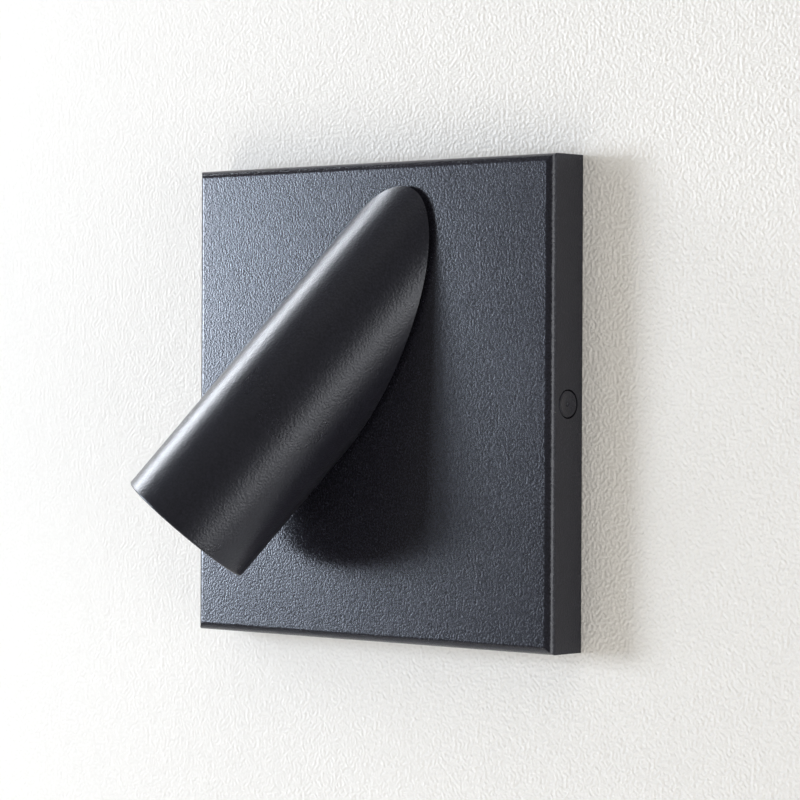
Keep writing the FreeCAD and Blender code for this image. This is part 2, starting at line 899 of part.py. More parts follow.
def make_switch_body():
    side = switch_side / 2
    body = box((switch_back(), switch_front()), deep(button_depth - side, button_depth + side),
               (-side, side))
    front = [edge for edge in body.Edges if all(abs(v.X - switch_front()) < 1e-6 for v in edge.Vertexes)]
    body = body.makeFillet(soft_edge, front)
    return body.cut(rod(button_axis(switch_front() - plunger_pocket), X,
                        plunger_size + 2 * running_gap, plunger_pocket + over))


def make_switch_plunger():
    length = plunger_in + plunger_out
    plunger = rod(button_axis(switch_front() - plunger_in), X, plunger_size, length)
    tip = [edge for edge in plunger.Edges
           if edge.Closed and abs(edge.CenterOfMass.x - switch_front() - plunger_out) < 1e-6]
    return plunger.makeFillet(soft_edge, tip)


# ---- head, in tube coordinates: x, then towards the wall, then inward from the mouth ----

def cut_centre():
    """Centre of the oblique cut with the tube hanging straight down."""
    return pivot + OUT * cut_depth - Z * pivot_to_centre


def tube_placement():
    slope = math.radians(head_cut)
    inward = Vector(0, math.sin(slope), math.cos(slope))
    return Placement(cut_centre() - inward * head_axis_length, Rotation(X, -head_cut))


def in_tube(shape):
    """Puts a shape made in tube coordinates into the hanging head."""
    shape.Placement = tube_placement().multiply(shape.Placement)
    return shape


def tube_point(x, q, s):
    return tube_placement().multVec(Vector(x, q, s))


def behind(depth):
    """Everything nearer to the wall than a depth."""
    return box((-far, far), deep(-far, depth), (-far, far))


def tube_end():
    """Length that reaches past the long side of the cut."""
    return head_axis_length + head_radius / math.tan(math.radians(head_cut)) + over


def inner_base_depth():
    return cut_depth + head_base_wall


def make_head_shell():
    """Tube with an oblique cut that a flat wall closes, and a rounded mouth."""
    outer = Part.makeCylinder(head_radius, tube_end(), Vector(0, 0, 0), Z)
    mouth = [edge for edge in outer.Edges if edge.Closed and abs(edge.CenterOfMass.z) < 1e-6]
    outer = in_tube(outer.makeFillet(mouth_round, mouth)).cut(behind(cut_depth))
    flare = mouth_round / 2
    bore = turned([(0, -over), (bore_radius + flare + over, -over), (bore_radius, flare),
                   (bore_radius, tube_end()), (0, tube_end())], Vector(0, 0, 0), Z)
    bore = in_tube(bore).cut(behind(inner_base_depth()))
    shell = outer.cut(bore)
    through = head_base_wall + 2 * over
    holes = [rod(place + OUT * (cut_depth - over), OUT, spindle_screw_thread, through)
             for place in spindle_screw_places()]
    holes.append(rod(pivot + OUT * (cut_depth - over), OUT, spindle_thread + seat_gap, through))
    return shell.cut(holes).removeSplitter()


def spindle_screw_places():
    return [pivot + X * side * spindle_screw_circle / 2 for side in (-1, 1)]


def make_swivel_spindle():
    """Hollow spindle: a flange inside the head, then a threaded shank with two flats."""
    start = spindle_end_depth
    shoulder = inner_base_depth()
    bore, thread, flange = spindle_bore / 2, spindle_thread / 2, spindle_flange / 2
    length, bevel = shoulder - start, spindle_bevel
    end = length + spindle_flange_wall
    profile = [(bore, 0), (thread - bevel, 0), (thread, bevel), (thread, length), (flange, length),
               (flange, end - bevel), (flange - bevel, end), (bore, end)]
    spindle = turned(profile, pivot + OUT * start, OUT)
    top = stop_washer_depth + seat_gap
    cuts = [box((side * spindle_flats / 2, side * spindle_thread), deep(start - over, top),
                (pivot_height - spindle_thread, pivot_height + spindle_thread)) for side in (-1, 1)]
    cuts += [rod(place + OUT * (shoulder - over), OUT, spindle_screw_thread + fit_gap,
                 spindle_flange_wall + 2 * over) for place in spindle_screw_places()]
    return spindle.cut(cuts).removeSplitter()


def make_spindle_screws():
    depth = inner_base_depth() + spindle_flange_wall
    length = spindle_flange_wall + head_base_wall - fit_gap
    return Part.makeCompound([
        pan_screw(place + OUT * depth, Y, spindle_screw_thread, spindle_screw_head,
                  spindle_screw_head_height, length) for place in spindle_screw_places()])


def make_disc_spring():
    """Conical washer, its rim on the friction washer and its bore edge on the stop washer."""
    bore, rim = spindle_thread / 2 + fit_gap, washer_outer / 2 - disc_spring_inset
    low, high = stop_washer_depth + seat_gap, stop_washer_depth + disc_spring_height
    profile = [(bore, low), (bore, low + disc_spring_wall), (rim, high), (rim, high - disc_spring_wall)]
    return turned(profile, pivot, OUT)


def make_stop_washer():
    """Washer keyed to the spindle's flats, with a tab that meets the stop pin at each end."""
    depth = deep(stop_washer_depth - stop_washer_wall, stop_washer_depth)
    washer = rod(pivot + OUT * (stop_washer_depth - stop_washer_wall), OUT, washer_outer,
                 stop_washer_wall)
    slack = math.radians(180 - stop_swing)
    tab_half = stop_circle / 2 * math.sin(slack) - stop_pin_size / 2 - seat_gap
    tab = box((-tab_half, tab_half), depth,
              (pivot_height - stop_circle / 2 - stop_pin_size / 2, pivot_height))
    hole = rod(pivot + OUT * (stop_washer_depth - stop_washer_wall - over), OUT,
               spindle_thread + seat_gap, stop_washer_wall + 2 * over)
    flats = [box((side * (spindle_flats / 2 + seat_gap / 2), side * spindle_thread), deep(0, far),
                 (pivot_height - spindle_thread, pivot_height + spindle_thread)) for side in (-1, 1)]
    return washer.fuse(tab).cut(hole.cut(flats)).removeSplitter()


def make_swivel_nut():
    """Thin hexagon nut, flush with the spindle's end."""
    nut = Part.Face(Part.makePolygon(hexagon(nut_across_flats))).extrude(Z * nut_wall)
    bevel_end = nut_across_flats / 2 + nut_bevel
    cone = Part.makeCone(bevel_end + nut_wall, bevel_end, nut_wall)
    nut = nut.common(cone).cut(Part.makeCylinder((spindle_thread + seat_gap) / 2, nut_wall))
    depth = stop_washer_depth - stop_washer_wall
    nut.Placement = Placement(pivot + OUT * depth, Rotation(Z, Y))
    return nut


def glass_start():
    """Distance inward from the mouth, as in the functions that follow."""
    return mouth_recess + bezel_length


def seal_start():
    return glass_start() + glass_wall


def holder_start():
    return seal_start() + seal_wall


def sink_start():
    """Front face of the heat sink, where the LED board and the lens holder sit."""
    return holder_start() + lens_height + chip_wall + led_board_wall + thermal_pad_wall + seat_gap


def led_board_start():
    return sink_start() - thermal_pad_wall - led_board_wall


def made_in_tube(profile):
    return in_tube(turned(profile, Vector(0, 0, 0), Z))


def make_bezel_ring():
    """Threaded ring with stepped inner faces and two key notches."""
    outer, bore, start, end = bore_radius - seat_gap, bezel_bore / 2, mouth_recess, glass_start()
    step = bezel_length / 3
    bezel = made_in_tube([(bore, end), (bore, start + 2 * step), (bore + bezel_lip, start + 2 * step),
                          (bore + bezel_lip, start + step), (bore + 2 * bezel_lip, start + step),
                          (bore + 2 * bezel_lip, start), (outer, start), (outer, end)])
    notches = [in_tube(box((side * (bore + bezel_lip / 2), side * far),
                           (-bezel_notch / 2, bezel_notch / 2), (start - over, start + step / 2)))
               for side in (-1, 1)]
    return bezel.cut(notches).removeSplitter()


def make_front_glass():
    edge, start, end, bevel = glass_size / 2, glass_start(), seal_start(), glass_bevel
    return made_in_tube([(0, start), (edge - bevel, start), (edge, start + bevel),
                         (edge, end - bevel), (edge - bevel, end), (0, end)])


def make_glass_seal():
    edge, start, end = glass_size / 2, seal_start(), holder_start()
    return made_in_tube([(edge - seal_width, start), (edge, start), (edge, end), (edge - seal_width, end)])


def lens_back():
    return holder_start() + lens_height


def make_lens():
    """Collimator: a rim, a cone and a pocket over the light source."""
    rim, start = lens_size / 2, holder_start()
    tail, pocket = lens_tail / 2, lens_pocket / 2
    shoulder = start + lens_rim_wall
    end = lens_back()
    neck, crown = rim - lens_rim_step, end - lens_pocket_height
    waist = (neck + tail) / 2 + lens_bulge
    return made_in_tube([(0, start), (rim, start), (rim, shoulder), (neck, shoulder),
                         (waist, (shoulder + end) / 2), (tail, end), (pocket, end),
                         (pocket - lens_pocket_taper, crown), (0, crown - lens_pocket_taper)])


def make_lens_holder():
    """Sleeve round the optic with a ledge under its rim; it stands on the heat sink."""
    outer, start, end = holder_size / 2, holder_start(), sink_start()
    seat = lens_size / 2 + seat_gap
    ledge = start + lens_rim_wall + seat_gap
    board = led_board_size() / 2 + seat_gap
    throat = seat - lens_rim_step + 2 * seat_gap
    return made_in_tube([(seat, start), (outer, start), (outer, end), (board, end),
                         (board, ledge + holder_ledge), (throat, ledge + holder_ledge),
                         (throat, ledge), (seat, ledge)])


def led_board_size():
    return lens_size + seat_gap


def led_screw_places(s):
    return [tube_point(side * led_screw_circle / 2, 0, s) for side in (-1, 1)]


def tube_inward():
    return tube_point(0, 0, 1) - tube_point(0, 0, 0)


def cable_tool(start, end):
    """Cutting tool along the lamp cable's straight stretch in the tube."""
    return in_tube(rod(Vector(0, -cable_offset, start), Z, cable_size + 2 * fit_gap, end - start))


def make_led_board():
    start, end = led_board_start(), sink_start() - thermal_pad_wall
    return drilled_disc(led_board_size(), start, end)


def drilled_disc(size, start, end):
    """Disc across the tube with holes for the board's screws and the cable."""
    disc = in_tube(rod(Vector(0, 0, start), Z, size, end - start))
    holes = [rod(place, tube_inward(), led_screw_thread + fit_gap, end - start + 2 * over)
             for place in led_screw_places(start - over)]
    return disc.cut(holes + [cable_tool(start - over, end + over)])


def make_thermal_pad():
    start, end = sink_start() - thermal_pad_wall, sink_start()
    return drilled_disc(led_board_size() - 2 * thermal_pad_inset, start, end)


def make_led_chip():
    """Square carrier with a round light spot that stands a little proud."""
    start, side = led_board_start() - chip_wall + light_spot_wall, chip_size / 2
    carrier = in_tube(box((-side, side), (-side, side), (start, led_board_start())))
    spot = in_tube(rod(Vector(0, 0, start - light_spot_wall), Z, light_spot, light_spot_wall))
    return carrier.fuse(spot)


def make_led_screws():
    return Part.makeCompound([
        pan_screw(place, tube_inward(), led_screw_thread, led_screw_head, led_screw_head_height,
                  led_screw_length) for place in led_screw_places(led_board_start())])


def make_heat_sink():
    """Slug with cooling slots, mitred so that it seats on the head's closing wall."""
    start, end = sink_start(), sink_start() + sink_length
    slug = in_tube(rod(Vector(0, 0, start), Z, 2 * (bore_radius - seat_gap), end - start))
    slug = slug.cut(behind(inner_base_depth()))
    middle = (sink_slot_count - 1) / 2
    cuts = [in_tube(box(((n - middle) * sink_slot_pitch - sink_slot / 2,
                         (n - middle) * sink_slot_pitch + sink_slot / 2),
                        (-far, far), (end - sink_slot_depth, end + over)))
            for n in range(sink_slot_count)]
    cuts += [rod(place, tube_inward(), led_screw_thread, led_screw_length + over)
             for place in led_screw_places(led_board_start())]
    cuts.append(cable_tool(start - over, end + over))
    return slug.cut(cuts).removeSplitter()


def cable_corner():
    """Where the tube cable's line meets the spindle's axis."""
    slope = math.radians(head_cut)
    pivot_q = -pivot_to_centre * math.sin(slope)
    rise = (cable_offset + pivot_q) / math.cos(slope)
    return pivot + OUT * (cut_depth + rise)


def make_head_cable():
    """Turning half of the lamp's cable; it meets the fixed half inside the hollow spindle."""
    points = [tube_point(0, -cable_offset, led_board_start() + fit_gap), cable_corner(),
              pivot + OUT * (plate_depth + seat_gap)]
    return lead(points, cable_size)


def cable_depth():
    """Depth of the fixed cable where it passes behind the swivel nut."""
    return spindle_end_depth - fit_gap - cable_size / 2


def make_driver_cable():
    low = cable_depth()
    entry = connector_middle_depth()
    end = driver_board_limits()[1][1]
    points = [pivot + OUT * (plate_depth - seat_gap), pivot + OUT * low,
              Vector(cable_bow - cable_lean, -low, pivot_height - cable_drop),
              Vector(cable_bow, -low, 0), Vector(led_entry(), -entry, driver_top() + cable_entry_run),
              Vector(led_entry(), -entry, end + fit_gap)]
    return lead(points, cable_size)


def make_mains_leads():
    """Pair from the first two poles, down the left side and into the driver's left end."""
    leads = []
    end = driver_board_limits()[0][0] - seat_gap
    depth = connector_middle_depth()
    for n, (x, row) in enumerate(zip(terminal_pole_places(), mains_rows())):
        aside = -bracket_side() + mains_leads_inset + n * wire_pitch
        stagger = n * mains_stagger
        leaves = terminal_bottom - mains_exit + stagger / 2
        points = [Vector(x, -terminal_centre_depth(), terminal_bottom + over),
                  Vector(x, -terminal_centre_depth(), leaves),
                  Vector(aside, -wire_depth, terminal_bottom - mains_turn + stagger),
                  Vector(aside, -wire_depth, -lead_bend),
                  Vector(aside + mains_step, -wire_depth, -2 * lead_bend),
                  Vector(-driver_length / 2 - mains_reach + stagger / 2, -depth, row),
                  Vector(end, -depth, row)]
        leads.append(lead(points, wire_size))
    return Part.makeCompound(leads)


def make_switch_leads():
    """Pair from the switch board, down the right side and into the driver's right end."""
    leads = []
    end = driver_board_limits()[0][1] + seat_gap
    start = switch_back() - switch_board_wall - seat_gap
    depth = connector_middle_depth()
    for n, row in enumerate(mains_rows()):
        z = (n - 0.5) * wire_pitch
        aside = start - switch_leads_out - n * (wire_size + 3 * fit_gap)
        points = [Vector(start, -button_depth, z), Vector(aside, -button_depth, z),
                  Vector(aside, -wire_depth, -lead_bend),
                  Vector(aside - switch_step, -wire_depth, -2 * lead_bend),
                  Vector(driver_length / 2 + switch_reach, -depth, row), Vector(end, -depth, row)]
        leads.append(lead(points, wire_size))
    return Part.makeCompound(leads)


PLATE = {
    "cover_plate": make_cover_plate,
    "mounting_bracket": make_mounting_bracket,
    "cover_screws": make_cover_screws,
    "cable_bush": make_cable_bush,
    "terminal_block": make_terminal_block,
    "terminal_tubes": make_terminal_tubes,
    "terminal_screws": make_terminal_screws,
    "earth_screw": make_earth_screw,
    "earth_washer": make_earth_washer,
    "earth_lead": make_earth_lead,
    "mains_leads": make_mains_leads,
    "switch_leads": make_switch_leads,
    "driver_cable": make_driver_cable,
    "driver_case": make_driver_case,
    "driver_lid": make_driver_lid,
    "driver_board": make_driver_board,
    "driver_transformer": make_driver_transformer,
    "driver_capacitors": make_driver_capacitors,
    "driver_inductor": make_driver_inductor,
    "driver_chip": make_driver_chip,
    "driver_connectors": make_driver_connectors,
    "driver_screws": make_driver_screws,
    "swivel_bush": make_swivel_bush,
    "friction_washer": make_friction_washer,
    "stop_pin": make_stop_pin,
    "switch_carrier": make_switch_carrier,
    "carrier_screws": make_carrier_screws,
    "switch_board": make_switch_board,
    "switch_body": make_switch_body,
    "button_spring": make_button_spring,
    "push_button": make_push_button,
    "switch_plunger": make_switch_plunger,
}

HEAD = {
    "head_shell": make_head_shell,
    "swivel_spindle": make_swivel_spindle,
    "spindle_screws": make_spindle_screws,
    "disc_spring": make_disc_spring,
    "stop_washer": make_stop_washer,
    "swivel_nut": make_swivel_nut,
    "heat_sink": make_heat_sink,
    "thermal_pad": make_thermal_pad,
    "led_board": make_led_board,
    "led_chip": make_led_chip,
    "led_screws": make_led_screws,
    "lens_holder": make_lens_holder,
    "lens": make_lens,
    "glass_seal": make_glass_seal,
    "front_glass": make_front_glass,
    "bezel_ring": make_bezel_ring,
    "head_cable": make_head_cable,
}

os.makedirs("parts", exist_ok=True)
for name, make in PLATE.items():
    make().exportStep(f"parts/{name}.step")
for name, make in HEAD.items():
    shape = make()
    shape.rotate(pivot, Y, rest_swing)
    shape.exportStep(f"parts/{name}.step")
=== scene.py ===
import math

import bpy
from mathutils import Matrix, Vector


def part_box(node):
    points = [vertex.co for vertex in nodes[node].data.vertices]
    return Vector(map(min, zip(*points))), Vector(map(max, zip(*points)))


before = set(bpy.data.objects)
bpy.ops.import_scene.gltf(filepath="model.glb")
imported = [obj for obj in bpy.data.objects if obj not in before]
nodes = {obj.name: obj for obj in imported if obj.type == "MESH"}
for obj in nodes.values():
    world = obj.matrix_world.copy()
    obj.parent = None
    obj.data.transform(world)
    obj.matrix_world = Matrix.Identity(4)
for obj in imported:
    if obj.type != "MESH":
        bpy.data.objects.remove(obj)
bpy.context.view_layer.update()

# Metres throughout, in the model's own frame: X right, Y into the wall, Z up, the wall at Y = 0.


def middle(node):
    low, high = (Vector(corner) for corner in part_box(node))
    return (low + high) / 2


TUBE_AXIS = (middle("front_glass") - middle("led_board")).normalized()

# ---- camera: fitted to the plate's corners and the tube's outline, for a square picture ----

CAMERA_TURN = math.radians(42.11)
CAMERA_DISTANCE = 0.8418
CAMERA_HEIGHT = 0.00635
CAMERA_YAW = math.radians(42.065)
CAMERA_PITCH = math.radians(-0.397)
CAMERA_ROLL = math.radians(0.230)
CAMERA_LENS = 149.7
CAMERA_SENSOR = 36.0


def make_camera():
    forward = Vector((-math.sin(CAMERA_YAW) * math.cos(CAMERA_PITCH),
                      math.cos(CAMERA_YAW) * math.cos(CAMERA_PITCH), math.sin(CAMERA_PITCH)))
    level = Vector((math.cos(CAMERA_YAW), math.sin(CAMERA_YAW), 0))
    upward = level.cross(forward)
    right = level * math.cos(CAMERA_ROLL) + upward * math.sin(CAMERA_ROLL)
    up = upward * math.cos(CAMERA_ROLL) - level * math.sin(CAMERA_ROLL)
    data = bpy.data.cameras.new("camera")
    data.lens = CAMERA_LENS
    data.sensor_width = CAMERA_SENSOR
    data.clip_start = 0.01
    data.clip_end = 20
    camera = bpy.data.objects.new("camera", data)
    bpy.context.scene.collection.objects.link(camera)
    turn = Matrix((right, up, -forward)).transposed().to_4x4()
    place = Vector((CAMERA_DISTANCE * math.sin(CAMERA_TURN),
                    -CAMERA_DISTANCE * math.cos(CAMERA_TURN), CAMERA_HEIGHT))
    camera.matrix_world = Matrix.Translation(place) @ turn
    bpy.context.scene.camera = camera


# ---- material helpers ----

def new_material(name):
    """Material with a Principled shader and its node tree cleared of everything else."""
    material = bpy.data.materials.new(name)
    material.use_nodes = True
    tree = material.node_tree
    tree.nodes.clear()
    shader = tree.nodes.new("ShaderNodeBsdfPrincipled")
    output = tree.nodes.new("ShaderNodeOutputMaterial")
    tree.links.new(shader.outputs["BSDF"], output.inputs["Surface"])
    return material, tree, shader


def object_coordinates(tree):
    return tree.nodes.new("ShaderNodeTexCoord").outputs["Object"]


def surface_normal(tree):
    return tree.nodes.new("ShaderNodeTexCoord").outputs["Normal"]


def stretched(tree, vector, factors):
    """Coordinates scaled by axis, which draws a pattern out along the small factors."""
    node = tree.nodes.new("ShaderNodeVectorMath")
    node.operation = "MULTIPLY"
    node.inputs[1].default_value = factors
    tree.links.new(vector, node.inputs[0])
    return node.outputs["Vector"]


def along(tree, vector, direction):
    """How far a point lies along a direction."""
    node = tree.nodes.new("ShaderNodeVectorMath")
    node.operation = "DOT_PRODUCT"
    node.inputs[1].default_value = direction
    tree.links.new(vector, node.inputs[0])
    return node.outputs["Value"]


def away_from(tree, vector, point):
    """Distance from a point."""
    node = tree.nodes.new("ShaderNodeVectorMath")
    node.operation = "DISTANCE"
    node.inputs[1].default_value = point
    tree.links.new(vector, node.inputs[0])
    return node.outputs["Value"]


def noise(tree, vector, scale, detail=2.0, roughness=0.5):
    node = tree.nodes.new("ShaderNodeTexNoise")
    node.inputs["Scale"].default_value = scale
    node.inputs["Detail"].default_value = detail
    node.inputs["Roughness"].default_value = roughness
    tree.links.new(vector, node.inputs["Vector"])
    return node.outputs["Fac"]


def rings(tree, value, scale):
    """Uneven bands along one direction, as a lathe tool leaves them."""
    node = tree.nodes.new("ShaderNodeTexNoise")
    node.noise_dimensions = "1D"
    node.inputs["Scale"].default_value = scale
    node.inputs["Detail"].default_value = 3.0
    tree.links.new(value, node.inputs["W"])
    return node.outputs["Fac"]


def cells(tree, vector, scale):
    """A random tone for each of many small cells."""
    node = tree.nodes.new("ShaderNodeTexVoronoi")
    node.feature = "F1"
    node.inputs["Scale"].default_value = scale
    tree.links.new(vector, node.inputs["Vector"])
    tone = tree.nodes.new("ShaderNodeSeparateColor")
    tree.links.new(node.outputs["Color"], tone.inputs["Color"])
    return tone.outputs["Red"]


def spread(tree, value, low, high, out_low=0.0, out_high=1.0):
    """Maps a range of values onto another."""
    node = tree.nodes.new("ShaderNodeMapRange")
    node.inputs["From Min"].default_value = low
    node.inputs["From Max"].default_value = high
    node.inputs["To Min"].default_value = out_low
    node.inputs["To Max"].default_value = out_high
    tree.links.new(value, node.inputs["Value"])
    return node.outputs["Result"]


def combine(tree, operation, first, second):
    node = tree.nodes.new("ShaderNodeMath")
    node.operation = operation
    for socket, value in zip(node.inputs, (first, second)):
        if isinstance(value, (int, float)):
            socket.default_value = value
        else:
            tree.links.new(value, socket)
    return node.outputs["Value"]


def between_colours(tree, factor, first, second):
    """Mixes two colours, each of which is a plain colour or another node's output."""
    node = tree.nodes.new("ShaderNodeMix")
    node.data_type = "RGBA"
    tree.links.new(factor, node.inputs["Factor"])
    for name, colour in (("A", first), ("B", second)):
        socket = next(entry for entry in node.inputs if entry.name == name and entry.type == "RGBA")
        if isinstance(colour, tuple):
            socket.default_value = (*colour, 1)
        else:
            tree.links.new(colour, socket)
    return next(entry for entry in node.outputs if entry.type == "RGBA")


def bump(tree, height, depth, below=None):
    """Surface normal of a height map whose full range is depth metres high."""
    node = tree.nodes.new("ShaderNodeBump")
    node.inputs["Strength"].default_value = 1.0
    node.inputs["Distance"].default_value = depth
    tree.links.new(height, node.inputs["Height"])
    if below is not None:
        tree.links.new(below, node.inputs["Normal"])
    return node.outputs["Normal"]


def shade(colour, factor):
    return tuple(channel * factor for channel in colour)


# ---- powder coat: noise scales are per metre, depths and distances in metres ----

GRAIN = 1900
GRAIN_DEPTH = 0.000040
FINE_GRAIN = 8000
FINE_DEPTH = 0.000018
COAT_DARK = (0.0100, 0.0100, 0.0145)
COAT_LIGHT = (0.0175, 0.0170, 0.0245)
COAT_SHEEN = (0.86, 0.91, 1.0)
COAT_IOR = 1.52
GLOSS_DRIFT = 60
GLOSS_DROP = 0.01
GLOSS_RISE = 0.02


def powder_coat(name, roughness, relief):
    """Textured powder coat: pebbles about 0.9 mm wide, over a finer grain that dulls the gloss."""
    material, tree, shader = new_material(name)
    here = object_coordinates(tree)
    pebbles = noise(tree, here, GRAIN, detail=0.0)
    fine = noise(tree, here, FINE_GRAIN, detail=1.0)
    slow = noise(tree, here, GLOSS_DRIFT, detail=3.0)
    tone = spread(tree, pebbles, 0.25, 0.75)
    tree.links.new(between_colours(tree, tone, COAT_DARK, COAT_LIGHT), shader.inputs["Base Color"])
    gloss = spread(tree, slow, 0.3, 0.7, roughness - GLOSS_DROP, roughness + GLOSS_RISE)
    tree.links.new(gloss, shader.inputs["Roughness"])
    shader.inputs["Specular Tint"].default_value = (*COAT_SHEEN, 1)
    shader.inputs["IOR"].default_value = COAT_IOR
    below = bump(tree, fine, FINE_DEPTH * relief)
    tree.links.new(bump(tree, pebbles, GRAIN_DEPTH * relief, below), shader.inputs["Normal"])
    return material


# ---- metals ----

HAZE = 250
SPANGLES = 900
ROLLING_LINES = 5000
DRAWN_LINES = 6000
PLATE_RINGS = 9000
TUBE_RINGS = 6000
MILLED_GRAIN = 3000
BLACKENED_GRAIN = 3500


def metal(name, colour, roughness, pattern, depth=0.000003, contrast=0.25):
    """Bare or plated metal whose pattern tints it, dulls it and is felt in its surface."""
    material, tree, shader = new_material(name)
    here = object_coordinates(tree)
    marks = pattern(tree, here)
    haze = noise(tree, here, HAZE, detail=4.0)
    tone = spread(tree, combine(tree, "ADD", marks, haze), 0.6, 1.4)
    dark, light = shade(colour, 1 - contrast), shade(colour, 1 + contrast / 3)
    tree.links.new(between_colours(tree, tone, dark, light), shader.inputs["Base Color"])
    dull = spread(tree, haze, 0.3, 0.7, roughness - 0.06, roughness + 0.08)
    tree.links.new(dull, shader.inputs["Roughness"])
    tree.links.new(bump(tree, marks, depth), shader.inputs["Normal"])
    shader.inputs["Metallic"].default_value = 1.0
    return material


def spangled(tree, here):
    """Small facets of a zinc coat under fine rolling lines."""
    facets = cells(tree, here, SPANGLES)
    lines = noise(tree, stretched(tree, here, (1, 1, 0.04)), ROLLING_LINES)
    return combine(tree, "ADD", combine(tree, "MULTIPLY", facets, 0.5),
                   combine(tree, "MULTIPLY", lines, 0.5))


def drawn(tree, here):
    return noise(tree, stretched(tree, here, (0.1, 1, 0.1)), DRAWN_LINES, detail=3.0)


def turned_with_plate(tree, here):
    return rings(tree, along(tree, here, (0, 1, 0)), PLATE_RINGS)


def turned_with_tube(tree, here):
    return rings(tree, along(tree, here, TUBE_AXIS), TUBE_RINGS)


def milled_with_tube(tree, here):
    grain = noise(tree, here, MILLED_GRAIN, detail=3.0)
    return combine(tree, "ADD", combine(tree, "MULTIPLY", turned_with_tube(tree, here), 0.6),
                   combine(tree, "MULTIPLY", grain, 0.4))


def blackened(tree, here):
    return noise(tree, here, BLACKENED_GRAIN, detail=4.0, roughness=0.65)


# ---- plastics, rubbers and sheaths ----

FLOW_MARKS = 120
TWO_TONE_GRAIN = 3000
TWO_TONE_DEPTH = 0.000004
DARKER = 0.85
LIGHTER = 1.1
CORE_REACH = 0.0055
CAN_SLEEVE_END = 0.0002
PHOSPHOR_RADIUS = 0.0041
STRIPE_SIDE = (0.5, -0.6, 0.62)
STRIPE_EDGE = 0.35


def moulded(name, colour, roughness, scale=2500, depth=0.000006, contrast=0.12, sheen=0.0):
    """Moulded plastic or rubber: spark-eroded grain, faint flow marks and a slightly uneven gloss."""
    material, tree, shader = new_material(name)
    here = object_coordinates(tree)
    grain = noise(tree, here, scale, detail=2.0, roughness=0.6)
    flow = noise(tree, stretched(tree, here, (1, 1, 0.4)), FLOW_MARKS, detail=3.0)
    tone = spread(tree, combine(tree, "ADD", grain, flow), 0.7, 1.3)
    dark, light = shade(colour, 1 - contrast), shade(colour, 1 + contrast)
    tree.links.new(between_colours(tree, tone, dark, light), shader.inputs["Base Color"])
    tree.links.new(spread(tree, flow, 0.3, 0.7, roughness - 0.05, roughness + 0.07),
                   shader.inputs["Roughness"])
    tree.links.new(bump(tree, grain, depth), shader.inputs["Normal"])
    shader.inputs["Sheen Weight"].default_value = sheen
    return material


def two_tone(name, first, second, share, roughness, metallic=False):
    """Two finishes on one piece; share(tree, here) is 0 where the first lies and 1 for the second."""
    material, tree, shader = new_material(name)
    here = object_coordinates(tree)
    grain = noise(tree, here, TWO_TONE_GRAIN, detail=3.0)
    tone = spread(tree, grain, 0.3, 0.7)
    part = share(tree, here)
    pair = [between_colours(tree, tone, shade(colour, DARKER), shade(colour, LIGHTER))
            for colour in (first, second)]
    tree.links.new(between_colours(tree, part, *pair), shader.inputs["Base Color"])
    tree.links.new(spread(tree, grain, 0.3, 0.7, roughness - 0.05, roughness + 0.05),
                   shader.inputs["Roughness"])
    tree.links.new(bump(tree, grain, TWO_TONE_DEPTH), shader.inputs["Normal"])
    if metallic:
        tree.links.new(part, shader.inputs["Metallic"])
    return material


def beyond_core(tree, here):
    """The transformer's winding, where it stands out of its core."""
    offset = combine(tree, "SUBTRACT", along(tree, here, (0, 0, 1)), middle("driver_transformer").z)
    return combine(tree, "GREATER_THAN", combine(tree, "ABSOLUTE", offset, 0.0), CORE_REACH)


def can_end(tree, here):
    """The bare end of each capacitor's can."""
    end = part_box("driver_capacitors")[1][0]
    return combine(tree, "GREATER_THAN", along(tree, here, (1, 0, 0)), end - CAN_SLEEVE_END)


def light_spot(tree, here):
    """The round phosphor on the light source's square carrier."""
    return combine(tree, "LESS_THAN", away_from(tree, here, middle("led_chip")), PHOSPHOR_RADIUS)


def lead_stripe(tree, here):
    """A stripe along one side of the earth lead."""
    side = along(tree, surface_normal(tree), STRIPE_SIDE)
    return combine(tree, "GREATER_THAN", side, STRIPE_EDGE)


# ---- circuit boards, glass and clear plastic ----

TRACK_GRID = 160
TRACK_WIDTH = 0.035
TRACK_SOFTNESS = 0.3
TRACK_DEPTH = 0.00003
RESIST = (0.012, 0.080, 0.030)
RESIST_LIGHT = (0.016, 0.095, 0.036)
TRACK = (0.050, 0.230, 0.080)
FIBRE = (0.06, 0.20, 0.09)
FIBRE_WEAVE = 5000
SMEARS = 400
RIPPLE = 700
CLEAR_IOR = 1.5


